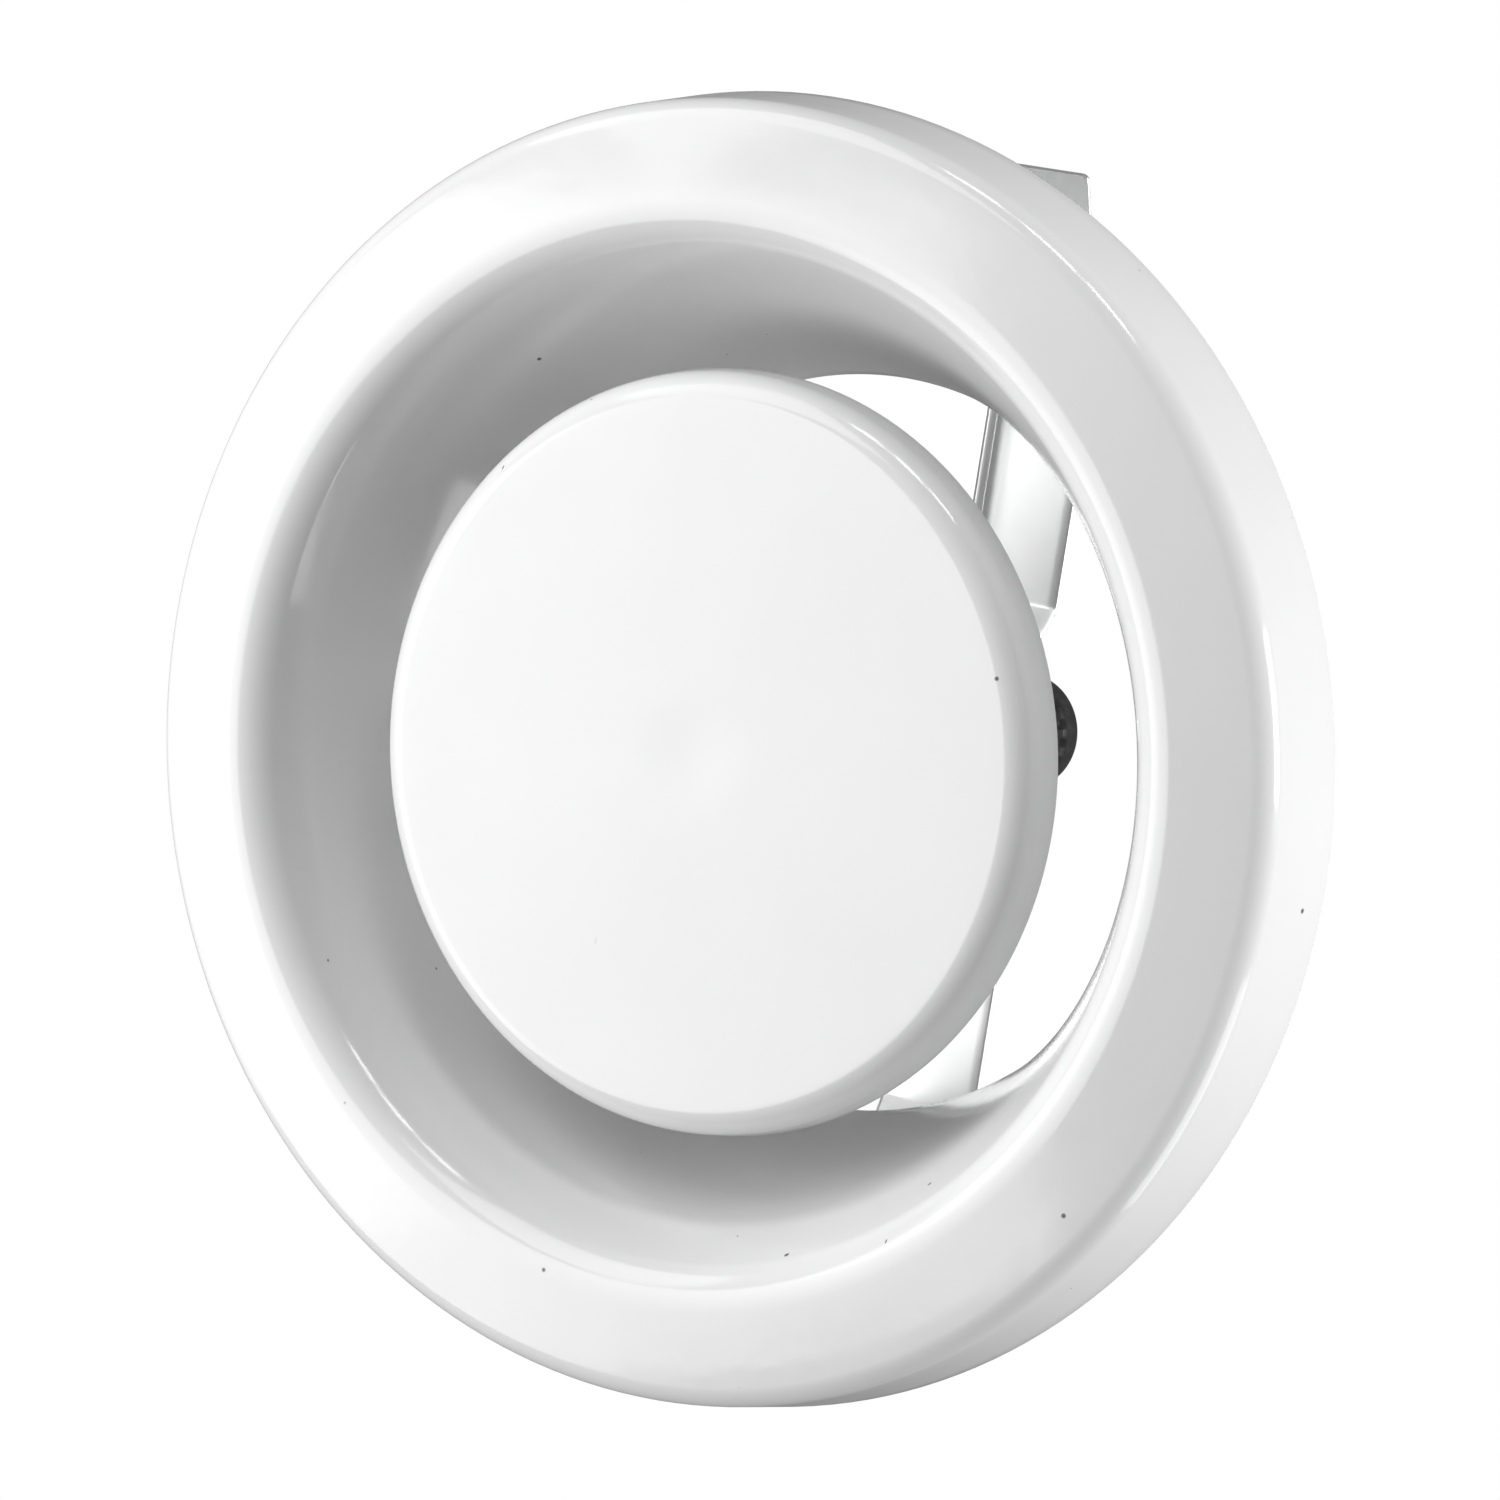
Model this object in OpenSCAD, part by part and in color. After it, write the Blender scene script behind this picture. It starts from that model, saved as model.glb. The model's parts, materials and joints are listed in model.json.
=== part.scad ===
// Ceiling air diffuser with a screw-set disc, held in a 160 mm round duct by a sprung bar.
// +Z points up into the duct, the ceiling plane is z = 0 and the face looks down.
// The bar runs along Y. Outlines are drawn as [radius, z] or [y, z].

/* [Ring] */
// Outer diameter of the ring where it meets the ceiling
ring_od = 170; // [168:1:176]
// Clear diameter of the throat at its rear rim
throat_id = 99.5; // [99:0.5:102]
// Length of the throat above the ceiling plane
throat_len = 31.4; // [30:0.2:34]
// Depth of the ring below the ceiling plane
ring_depth = 15.5; // [14:0.5:17]
// Draft of the ring's skirt, degrees
skirt_draft = 9; // [6:1:12]
// Fall of the ring's face from its crest to its edge, degrees
face_fall = 7; // [4:1:9]
// Radius where the face turns into the skirt
edge_fillet = 3.3; // [2:0.1:4]
// Radius of the lip between the face and the throat
lip_radius = 6; // [4:0.5:8]
// Radius of the bell-mouthed throat wall
bell_radius = 132; // [120:2:150]
// Angle of the throat wall to the axis at its rear rim, degrees
bell_exit = 8.7; // [7:0.1:10]
// Steel sheet thickness of the ring and the disc
sheet = 0.8; // [0.6:0.1:1]
// Thickness of the foam strip inside the skirt
foam_t = 3.2; // [2:0.2:5]
// Width of the foam strip inside the skirt
foam_w = 9; // [5:0.5:10]

/* [Disc] */
// Diameter of the disc at its rear rim
disc_od = 99; // [96:0.2:99.2]
// Height of the disc's front face below the ceiling plane
disc_front = 10.1; // [9.5:0.1:12]
// Height of the disc's rear rim below the ceiling plane
disc_rim = 3.4; // [2.5:0.1:4]
// Radius between the disc's face and its side wall
disc_fillet = 4; // [3:0.1:5]
// Draft of the disc's side wall, degrees
disc_draft = 8; // [4:1:10]
// Depth of the shallow dimple in the middle of the disc's face
dimple = 0.3; // [0.1:0.1:0.4]
// Radius of the stiffening plate behind the disc
hub_r = 20; // [16:1:24]

/* [Clamp bar] */
// Width of the steel strip that the bar and the stays are made of
strip_w = 15.2; // [14:0.2:16]
// Thickness of the strip
strip_t = 0.8; // [0.6:0.1:1]
// Height of the bar's front face above the ceiling plane
bar_z = 69.8; // [68:0.2:71]
// Distance from the axis to the bend of each bar end
bar_bend_y = 54.8; // [54:0.2:56]
// Angle that each bar end bends down, degrees
bar_bend = 25; // [22:1:28]
// Distance from the axis to the tip of each bar end
bar_tip_y = 79.6; // [78:0.2:79.8]
// Height of the stiffening flange along the bar's edge
flange_h = 2.8; // [2.5:0.1:4]
// Depth that the seat in the middle of the bar is pressed down
seat_drop = 3.6; // [3:0.1:4]
// Half length of the flat seat
seat_half = 15.5; // [13:0.5:16]
// Length of the slope between the seat and the bar
seat_slope = 4; // [3:0.5:5]

/* [Stays] */
// Distance from the axis to the inner face of each stay's upright shank
stay_y = 57; // [56.6:0.2:58]
// Distance from the axis to the rivets through each bar end
foot_y = 66; // [64:0.5:68]
// Distance from the middle of the strip to each rivet
rivet_x = 3.9; // [3.6:0.1:4.2]
// Rivet shank diameter
rivet_d = 3.2; // [3:0.1:3.6]
// Rivet head diameter
rivet_head_d = 5.6; // [5:0.2:6]
// Rivet head height
rivet_head_h = 1.1; // [0.8:0.1:1.3]

/* [Spindle and knob] */
// Diameter of the spindle over its thread crests
thread_d = 6; // [5.9:0.1:6]
// Height of the spindle's rear end above the ceiling plane
spindle_top = 90.5; // [90:0.1:91]
// Diameter of the locking knob
knob_d = 16.8; // [15:0.2:18]
// Height of the locking knob's rear face above the ceiling plane
knob_top = 82.3; // [80:0.1:82.3]
// Number of grip flutes round the knob
knob_flutes = 18; // [12:1:20]

/* [Hidden] */
$fn = 96;
coat_white = [0.95, 0.95, 0.94];
zinc = [0.74, 0.75, 0.76];
run_fit = 0.05;                      // radial clearance of a nut thread on the spindle
loose_fit = 0.2;                     // radial clearance of a loose washer on the spindle
arc_steps = 8;                       // straight steps in each drawn arc
bend_r = 1.2;                        // inside radius of the strip's bends

// Throat wall: an arc whose centre lies outside the wall
bell_centre = [throat_id / 2 + bell_radius * cos(bell_exit), throat_len + bell_radius * sin(bell_exit)];
// Angle of the wall to the axis where the bell meets the lip
bell_entry = asin((bell_centre[1] + ring_depth - lip_radius) / (bell_radius - lip_radius));
lip_centre = bell_centre - (bell_radius - lip_radius) * [cos(bell_entry), sin(bell_entry)];
// The fillet at the ring's edge touches the face and the skirt
face_normal = [sin(face_fall), -cos(face_fall)];
skirt_normal = [cos(skirt_draft), -sin(skirt_draft)];
edge_centre = meet(face_normal, face_normal * lip_centre + lip_radius - edge_fillet,
                   skirt_normal, skirt_normal * [ring_od / 2, 0] - edge_fillet);

// Disc outline: the fillet touches the flat face and the drafted side wall
disc_wall_normal = [cos(disc_draft), -sin(disc_draft)];
disc_fillet_centre = meet([0, -1], disc_front - disc_fillet,
                          disc_wall_normal, disc_wall_normal * [disc_od / 2, -disc_rim] - disc_fillet);
dimple_r = 9;

// Hub on the back of the disc, stacked upwards
disc_back = sheet - disc_front;
head_z = disc_back + dimple + 0.1;   // underside of the spindle's head
head_h = 1.1;
head_r = 7;
hat_z = head_z + head_h;             // underside of the raised middle of the hub plate
washer_z = hat_z + sheet;
spring_washer_h = 1.4;
nut_z = washer_z + spring_washer_h;
nut_h = 5;
nut_af = 10;                         // across flats

// Seat, bush and knob stack
seat_z = bar_z - seat_drop;
seat_top = seat_z + strip_t;
bush_h = 4.5;
bush_shank_r = 4.4;
knob_washer_h = 1;
knob_washer_r = 7.4;
knob_z = seat_top + 0.05 + knob_washer_h + 0.05;
knob_r = knob_d / 2;
knob_rim_h = 4;
insert_r = 4.6;
insert_h = 10.5;

// Loose stop washer and its clip at the spindle's rear end
stop_z = knob_top + 4.3;
stop_h = 1;
stop_r = 4.5;
neck_r = 2;
groove_r = 1.5;
clip_z = stop_z + stop_h + 0.3;
clip_h = 0.8;
clip_r = 4.1;

// Point where two lines normal * p = distance meet
function meet(n1, d1, n2, d2) =
    let (k = n1[0] * n2[1] - n1[1] * n2[0])
    [(d1 * n2[1] - n1[1] * d2) / k, (n1[0] * d2 - d1 * n2[0]) / k];

// Points of an arc about c from angle a to angle b
function arc(c, r, a, b, n = arc_steps) =
    [for (i = [0:n]) c + r * [cos(a + (b - a) * i / n), sin(a + (b - a) * i / n)]];

// Unit vector, and a vector turned a quarter turn to the left
function unit(v) = v / norm(v);
function left(v) = [-v[1], v[0]];

// Point i of path p moved t to the left of the path, mitred at its corners
function shifted(p, i, t) =
    let (a = i > 0 ? left(unit(p[i] - p[i - 1])) : left(unit(p[1] - p[0])),
         b = i < len(p) - 1 ? left(unit(p[i + 1] - p[i])) : a)
    p[i] + t * (a + b) / (1 + a * b);

// Closed outline of a strip of thickness t on the left of path p
function band(p, t) = concat(p, [for (i = [len(p) - 1:-1:0]) shifted(p, i, t)]);

// Path p with each inner corner rounded to radius r
function rounded(p, r, n = 5) = concat([p[0]], [for (i = [1:len(p) - 2])
    let (a = unit(p[i - 1] - p[i]),
         b = unit(p[i + 1] - p[i]),
         half = acos(a * b) / 2,
         c = p[i] + unit(a + b) * r / sin(half),
         from = p[i] + a * r / tan(half) - c,
         to = p[i] + b * r / tan(half) - c)
    for (k = [0:n]) c + unit(from * sin((n - k) * (180 - 2 * half) / n)
                             + to * sin(k * (180 - 2 * half) / n)) * r], [p[len(p) - 1]]);

// The ring's surface, drawn depth d inside the visible one, from the rear edge to the rim
function ring_line(d) = concat(
    [[ring_od / 2 - d / cos(skirt_draft), 0]],
    arc(edge_centre, edge_fillet - d, -skirt_draft, face_fall - 90),
    arc(lip_centre, lip_radius - d, face_fall - 90, bell_entry - 180, 12),
    [for (i = [1:12]) bell_point(bell_entry + (bell_exit - bell_entry) * i / 12, d)]);
function bell_point(angle, d) = bell_centre - (bell_radius - d) * [cos(angle), sin(angle)];

// Angle of the throat wall at height z, at depth d behind the visible surface
function bell_angle(z, d) = asin((bell_centre[1] - z) / (bell_radius - d));

// The disc's surface, drawn depth d inside the visible one, from the axis to the rear rim
function disc_line(d) = concat(
    [for (i = [0:6]) [dimple_r * i / 6, d - disc_front + dimple * (1 + cos(30 * i)) / 2]],
    arc(disc_fillet_centre, disc_fillet - d, -90, -disc_draft),
    [[disc_od / 2 - d / cos(disc_draft), -disc_rim]]);

// Point on the underside of the bar's bent end, at distance y from the axis
function bar_underside(y) = [y, bar_z - (y - bar_bend_y) * tan(bar_bend)];

function reversed(p) = [for (i = [len(p) - 1:-1:0]) p[i]];

// Ring between two radii
module washer(outer, inner, h) {
    difference() {
        cylinder(r = outer, h = h);
        translate([0, 0, -1]) cylinder(r = inner, h = h + 2);
    }
}

// A [y, z] outline made into a strip of the given width across X
module strip(outline, width = strip_w) {
    translate([-width / 2, 0, 0]) rotate([90, 0, 90]) linear_extrude(width) polygon(outline);
}

// Low domed rivet head standing on z = 0
module rivet_head() {
    dome = (pow(rivet_head_d / 2, 2) + pow(rivet_head_h, 2)) / (2 * rivet_head_h);
    edge = acos((rivet_head_d / 2) / dome);
    rotate_extrude() polygon(concat([[0, 0]], arc([0, rivet_head_h - dome], dome, edge, 90, 6)));
}

// Places its children at the two rivets of the bar end on the given side
module at_rivets(side) {
    for (x = [-rivet_x, rivet_x])
        translate([x, side * bar_bend_y, bar_z]) rotate([-side * bar_bend, 0, 0])
            translate([0, side * (foot_y - bar_bend_y) / cos(bar_bend), 0]) children();
}

module front_ring() {
    color(coat_white) rotate_extrude($fn = 180)
        polygon(concat(ring_line(0), reversed(ring_line(sheet))));
}

module ceiling_gasket() {
    inner = ring_od / 2 - sheet / cos(skirt_draft);
    lean = foam_w * tan(skirt_draft);
    color([0.3, 0.3, 0.31]) rotate_extrude($fn = 180)
        polygon([[inner, 0], [inner - foam_t, 0], [inner - foam_t - lean, -foam_w], [inner - lean, -foam_w]]);
}

// Stay on the +Y side: a pad curved to the throat, a shank and a foot under the bar end
module stay() {
    low = bell_angle(9, sheet);
    high = bell_angle(27, sheet);
    pad = concat([for (i = [0:6]) bell_point(low + (high - low) * i / 6, sheet)],
                 [for (i = [6:-1:0]) bell_point(low + (high - low) * i / 6, sheet + strip_t)]);
    start = bell_point(bell_angle(23, sheet), sheet);
    rim = bell_point(bell_angle(throat_len, sheet), sheet);
    path = [start, [rim[0] + 0.3, throat_len + 2], [stay_y, throat_len + 13],
            bar_underside(stay_y), bar_underside(foot_y + 5)];
    difference() {
        union() {
            intersection() {
                rotate_extrude($fn = 180) polygon(pad);
                translate([-strip_w / 2, 20, 0]) cube([strip_w, 60, 60]);
            }
            strip(band(rounded(path, bend_r), -strip_t));
        }
        at_rivets(1) translate([0, 0, -10]) cylinder(d = rivet_d, h = 20);
    }
}

module stay_a() {
    color(coat_white) stay();
}

module stay_b() {
    color(coat_white) rotate([0, 0, 180]) stay();
}

module clamp_bar() {
    half = [[seat_half, seat_z], [seat_half + seat_slope, bar_z],
            [bar_bend_y, bar_z], bar_underside(bar_tip_y)];
    path = concat([for (p = reversed(half)) [-p[0], p[1]]], half);
    flange_from = seat_half + seat_slope + 1.5;
    color(zinc) difference() {
        union() {
            strip(band(rounded(path, bend_r), strip_t));
            for (side = [-1, 1])
                translate([-strip_w / 2, side > 0 ? flange_from : 1 - bar_bend_y, bar_z - flange_h])
                    cube([strip_t, bar_bend_y - 1 - flange_from, flange_h + strip_t / 2]);
        }
        translate([0, 0, seat_z - 1]) cylinder(r = bush_shank_r, h = 4);
        for (side = [-1, 1])
            at_rivets(side) translate([0, 0, -10]) cylinder(d = rivet_d, h = 20);
    }
}

module bar_rivets() {
    color(zinc) for (side = [-1, 1])
        at_rivets(side) {
            translate([0, 0, -strip_t]) cylinder(d = rivet_d, h = 2 * strip_t);
            translate([0, 0, strip_t]) rivet_head();
            translate([0, 0, -strip_t]) mirror([0, 0, 1]) rivet_head();
        }
}

module threaded_bush() {
    color(zinc) difference() {
        union() {
            translate([0, 0, seat_z - bush_h]) cylinder(d = nut_af / cos(30), h = bush_h, $fn = 6);
            translate([0, 0, seat_z]) cylinder(r = bush_shank_r, h = strip_t);
        }
        translate([0, 0, seat_z - bush_h - 1]) cylinder(r = thread_d / 2 + run_fit, h = bush_h + 4);
    }
}

module valve_disc() {
    color(coat_white) rotate_extrude($fn = 180)
        polygon(concat(disc_line(0), reversed(disc_line(sheet))));
}

module hub_plate() {
    step = hat_z - disc_back;
    color(zinc) rotate_extrude()
        polygon(band([[thread_d / 2, hat_z], [head_r + 1.5, hat_z],
                      [head_r + 1.5 + step, disc_back], [hub_r, disc_back]], sheet));
}

module spindle() {
    color(zinc) difference() {
        union() {
            translate([0, 0, head_z]) cylinder(r = head_r, h = head_h);
            translate([0, 0, head_z]) cylinder(d = thread_d, h = stop_z - 0.3 - head_z);
            cylinder(r = neck_r, h = spindle_top);
        }
        translate([0, 0, clip_z]) washer(neck_r + 1, groove_r, clip_h);
    }
}

module hub_washer() {
    color(zinc) difference() {
        translate([0, 0, washer_z]) washer(5.6, thread_d / 2 + loose_fit, spring_washer_h);
        translate([0, -0.4, washer_z - 1]) cube([10, 0.8, spring_washer_h + 2]);
    }
}

module hub_nut() {
    color(zinc) difference() {
        translate([0, 0, nut_z]) cylinder(d = nut_af / cos(30), h = nut_h, $fn = 6);
        translate([0, 0, nut_z - 1]) cylinder(d = thread_d, h = nut_h + 2);
    }
}

module stop_washer() {
    color(zinc) translate([0, 0, stop_z]) washer(stop_r, neck_r + loose_fit, stop_h);
}

module stop_clip() {
    color([0.3, 0.3, 0.32]) difference() {
        translate([0, 0, clip_z]) washer(clip_r, groove_r, clip_h);
        translate([0, -groove_r, clip_z - 1]) cube([clip_r + 1, 2 * groove_r, clip_h + 2]);
    }
}

module knob_washer() {
    color(zinc) translate([0, 0, seat_top + 0.05])
        washer(knob_washer_r, thread_d / 2 + loose_fit, knob_washer_h);
}

module lock_knob() {
    rim_z = knob_top - knob_rim_h;
    body_r = knob_r - 0.5;
    round_r = 1.2;
    outline = concat([[0, knob_z], [body_r - 1.6, knob_z], [body_r, knob_z + 1.6], [body_r, rim_z - 0.5],
                      [knob_r, rim_z]],
                     arc([knob_r - round_r, knob_top - round_r], round_r, 0, 90, 6),
                     [[insert_r, knob_top], [insert_r - 1, knob_top - 0.6], [0, knob_top - 0.6]]);
    color([0.07, 0.07, 0.075]) difference() {
        rotate_extrude() polygon(outline);
        translate([0, 0, knob_z - 1]) cylinder(r = insert_r, h = insert_h + 1);
        translate([0, 0, knob_z]) cylinder(d = thread_d + 1, h = 30);
        for (i = [0:knob_flutes - 1])
            rotate([0, 0, i * 360 / knob_flutes]) translate([body_r + 0.55, 0, knob_z - 1])
                cylinder(r = 1, h = rim_z - knob_z, $fn = 24);
    }
}

module knob_insert() {
    color([0.8, 0.65, 0.3]) translate([0, 0, knob_z + 0.2])
        washer(insert_r, thread_d / 2 + run_fit, insert_h - 0.2);
}

front_ring();
ceiling_gasket();
stay_a();
stay_b();
clamp_bar();
bar_rivets();
threaded_bush();
valve_disc();
hub_plate();
spindle();
hub_washer();
hub_nut();
stop_washer();
stop_clip();
knob_washer();
lock_knob();
knob_insert();
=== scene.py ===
import json
import math

import bmesh
import bpy
from mathutils import Matrix, Vector, noise


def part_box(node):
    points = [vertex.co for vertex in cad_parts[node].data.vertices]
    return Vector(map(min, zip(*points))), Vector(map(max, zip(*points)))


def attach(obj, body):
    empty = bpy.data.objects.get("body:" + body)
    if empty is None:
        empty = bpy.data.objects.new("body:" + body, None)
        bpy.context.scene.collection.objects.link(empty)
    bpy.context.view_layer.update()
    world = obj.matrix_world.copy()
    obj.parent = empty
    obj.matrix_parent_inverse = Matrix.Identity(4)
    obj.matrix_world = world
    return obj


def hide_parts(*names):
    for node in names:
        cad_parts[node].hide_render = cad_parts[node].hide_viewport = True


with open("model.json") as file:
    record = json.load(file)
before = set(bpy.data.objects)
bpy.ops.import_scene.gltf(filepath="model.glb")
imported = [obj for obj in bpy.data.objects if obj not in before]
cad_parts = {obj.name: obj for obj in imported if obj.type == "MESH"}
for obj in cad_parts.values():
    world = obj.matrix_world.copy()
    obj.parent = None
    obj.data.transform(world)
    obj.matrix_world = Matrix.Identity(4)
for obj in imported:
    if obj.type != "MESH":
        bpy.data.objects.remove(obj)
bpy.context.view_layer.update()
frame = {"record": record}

# The looks of the ceiling air diffuser, in metres. +Z points up into the duct, the ceiling plane is z = 0
# and the face looks down. Outlines are [radius, z] or [y, z]. Heights come from the CAD nodes' boxes.

# Meshes: angle past which an edge is crisp, distance within which points merge, a length or angle too small
# to matter, the length of a drill, and how far the middle point of a bevel's arc is from the corner that it
# cuts, as a share of the bevel
SHARP_ANGLE = math.radians(28)
MERGE_DISTANCE = 1e-7
TINY = 1e-6
DRILL_LENGTH = 0.01
ARC_MIDDLE = 0.3

# Ring. The throat's section is an arc of radius BELL_R that leaves the throat's rear edge at BELL_EXIT.
SHEET = 0.0008
BELL_R = 0.132
BELL_EXIT = math.radians(8.7)
LIP_R = 0.006
EDGE_FILLET = 0.0033
FACE_FALL = math.radians(7)
SKIRT_DRAFT = math.radians(9)
THROAT_R = 0.04975

# Foam strip: thickness, gap at the butt joint, and the inner side's waves: their height and number a radian
FOAM_T = 0.0032
FOAM_GAP = 0.0006
FOAM_WAVE = 0.00012
FOAM_WAVES = 9

# Disc, the hub behind it and the spindle. HUB_MARGIN is the room round the spindle's head under the plate,
# SHOULDER_GAP the stop washer's play along the spindle, and the last two the play in two kinds of hole.
DISC_FILLET = 0.004
DISC_DRAFT = math.radians(8)
DIMPLE_R = 0.009
DIMPLE = 0.0003
HUB_MARGIN = 0.0015
THREAD_R = 0.003
THREAD_ROOT_R = 0.00245
PITCH = 0.001
HEAD_R = 0.007
HEAD_H = 0.0011
NECK_R = 0.002
GROOVE_R = 0.0015
SHOULDER_GAP = 0.0003
THREAD_PLAY = 0.00005
WASHER_PLAY = 0.0002

# Bar, the stays made of the same strip, their rivets and the bush. PAD_END_H, JOG_H and BOW_FADE_H are
# heights above the ring's rear edge. Names that end in _Z are heights above the ceiling plane.
STRIP_T = 0.0008
BEND_R = 0.0012
BAR_BEND = math.radians(25)
BAR_BEND_Y = 0.0548
SEAT_HALF = 0.0155
SEAT_SLOPE = 0.004
FLANGE_H = 0.0028
STAY_Y = 0.057
PAD_LOW_Z = 0.009
PAD_HIGH_Z = 0.0275
PAD_END_H = 0.002
JOG_H = 0.013
BOW_FADE_H = 0.008
WELD_X = 0.004
WELD_ROWS_Z = (0.014, 0.021)
FOOT_Y = 0.066
FOOT_END_Y = 0.071
RIVET_X = 0.0039
RIVET_R = 0.0016
RIVET_HEAD_R = 0.0028
RIVET_HEAD_H = 0.0011
BUSH_SHANK_R = 0.0044

# Knob
KNOB_FLUTES = 18
FLUTE_R = 0.001
FLUTE_OUT = 0.00055
KNOB_WALL_R = 0.0079
KNOB_RIM_H = 0.004
KNOB_CHAMFER = 0.0016
KNOB_ROUND_R = 0.0012
INSERT_R = 0.0046
INSERT_H = 0.0105
KNOB_HOLE_R = 0.0035

record = frame["record"]
BODY_OF = {node: body for body, nodes in record["behaviour"]["bodies"].items() for node in nodes}
SLOT_OF = {part["node"]: part["material_slot"] for part in record["subparts"]}


# ---- outlines ----

def polar(angle, length=1.0):
    return Vector((math.cos(angle), math.sin(angle))) * length


def arc(centre, radius, start, end, steps):
    """Points of an arc about centre, from one angle to another."""
    return [centre + polar(start + (end - start) * k / steps, radius) for k in range(steps + 1)]


def meet(normal_1, distance_1, normal_2, distance_2):
    """The point where two lines, each normal . p = distance, cross."""
    return Matrix((normal_1, normal_2)).inverted() @ Vector((distance_1, distance_2))


def resampled(line, longest):
    """The line with its segments cut up so that none is longer than the given length."""
    points = [line[0]]
    for a, b in zip(line, line[1:]):
        count = max(1, math.ceil((b - a).length / longest - TINY))
        points += [a.lerp(b, k / count) for k in range(1, count + 1)]
    return points


def rounded(line, radius, steps=6):
    """The line with each inner corner replaced by an arc."""
    points = [line[0]]
    for before, corner, after in zip(line, line[1:], line[2:]):
        a = (before - corner).normalized()
        b = (after - corner).normalized()
        half = a.angle(b) / 2
        centre = corner + (a + b).normalized() * (radius / math.sin(half))
        start = corner + a * (radius / math.tan(half)) - centre
        end = corner + b * (radius / math.tan(half)) - centre
        sweep = math.atan2(start.x * end.y - start.y * end.x, start.dot(end))
        points += [centre + Matrix.Rotation(sweep * k / steps, 2) @ start for k in range(steps + 1)]
    return points + [line[-1]]


def side_directions(line):
    """For each point of a line, the mitred vector that moves it one unit to the left."""
    directions = []
    for i, point in enumerate(line):
        before = (point - line[i - 1]).normalized() if i else (line[1] - line[0]).normalized()
        after = (line[i + 1] - point).normalized() if i < len(line) - 1 else before
        left_1 = Vector((-before.y, before.x))
        left_2 = Vector((-after.y, after.x))
        directions.append((left_1 + left_2) / (1 + left_1.dot(left_2)))
    return directions


def sheet_outline(line, thickness, round_start=True, steps=6):
    """Closed outline of a sheet whose middle follows the line. Its ends are rounded within the line."""
    line = [point.copy() for point in line]
    if round_start:
        line[0] += (line[1] - line[0]).normalized() * thickness / 2
    line[-1] += (line[-2] - line[-1]).normalized() * thickness / 2
    sides = [direction * thickness / 2 for direction in side_directions(line)]
    turns = [Matrix.Rotation(-math.pi * k / steps, 2) for k in range(1, steps)]
    outline = [point + side for point, side in zip(line, sides)]
    outline += [line[-1] + turn @ sides[-1] for turn in turns]
    outline += [point - side for point, side in zip(reversed(line), reversed(sides))]
    if round_start:
        outline += [line[0] - turn @ sides[0] for turn in turns]
    return outline


def bevelled(corners, bevel):
    """Closed outline with each of its corners cut by a small arc of three points."""
    points = []
    for i, corner in enumerate(corners):
        corner = Vector(corner)
        before = (Vector(corners[i - 1]) - corner).normalized() * bevel
        after = (Vector(corners[(i + 1) % len(corners)]) - corner).normalized() * bevel
        points += [corner + before, corner + (before + after) * ARC_MIDDLE, corner + after]
    return points


# ---- meshes ----

def loft(bm, rows, closed):
    """Joins rows of points, each a closed loop, into one shell. An open loft gets an end face at each end."""
    loops = [[bm.verts.new(point) for point in row] for row in rows]
    pairs = list(zip(loops, loops[1:]))
    if closed:
        pairs.append((loops[-1], loops[0]))
    for a, b in pairs:
        for j in range(len(a)):
            k = (j + 1) % len(a)
            bm.faces.new((a[j], b[j], b[k], a[k]))
    if not closed:
        bm.faces.new(loops[0])
        bm.faces.new(loops[-1])


def turned(bm, outline_at, segments, start=0.0, sweep=math.tau):
    """Turns a closed [radius, z] outline about Z. outline_at gives the outline at an angle."""
    closed = sweep > math.tau - TINY
    rows = []
    for i in range(segments if closed else segments + 1):
        angle = start + sweep * i / segments
        rows.append([(r * math.cos(angle), r * math.sin(angle), z) for r, z in outline_at(angle)])
    loft(bm, rows, closed)


def finished(bm, name):
    """Cleans the mesh, makes it an object, and keeps its sharp edges crisp."""
    bmesh.ops.remove_doubles(bm, verts=bm.verts, dist=MERGE_DISTANCE)
    bmesh.ops.delete(bm, geom=[e for e in bm.edges if not e.link_faces], context="EDGES")
    bmesh.ops.recalc_face_normals(bm, faces=bm.faces)
    mesh = bpy.data.meshes.new(name)
    bm.to_mesh(mesh)
    bm.free()
    mesh.shade_smooth()
    mesh.set_sharp_from_angle(angle=SHARP_ANGLE)
    piece = bpy.data.objects.new(name, mesh)
    bpy.context.scene.collection.objects.link(piece)
    return piece


def turned_piece(name, outline, segments=96):
    bm = bmesh.new()
    turned(bm, lambda angle: outline, segments)
    return finished(bm, name)


def drilled(piece, holes):
    """Cuts round holes, each a matrix whose Z is the hole's axis and a radius, through a piece."""
    bm = bmesh.new()
    for place, radius in holes:
        bmesh.ops.create_cone(bm, cap_ends=True, segments=48, radius1=radius, radius2=radius,
                              depth=DRILL_LENGTH, matrix=place)
    cutter = finished(bm, "cutter")
    cut = piece.modifiers.new("holes", "BOOLEAN")
    cut.operation = "DIFFERENCE"
    cut.solver = "EXACT"
    cut.object = cutter
    evaluated = piece.evaluated_get(bpy.context.evaluated_depsgraph_get())
    mesh = bpy.data.meshes.new_from_object(evaluated)
    piece.modifiers.clear()
    piece.data = mesh
    mesh.shade_smooth()
    mesh.set_sharp_from_angle(angle=SHARP_ANGLE)
    bpy.data.objects.remove(cutter)
    return piece


def smooth_step(value):
    value = min(1.0, max(0.0, value))
    return value * value * (3 - 2 * value)


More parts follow.
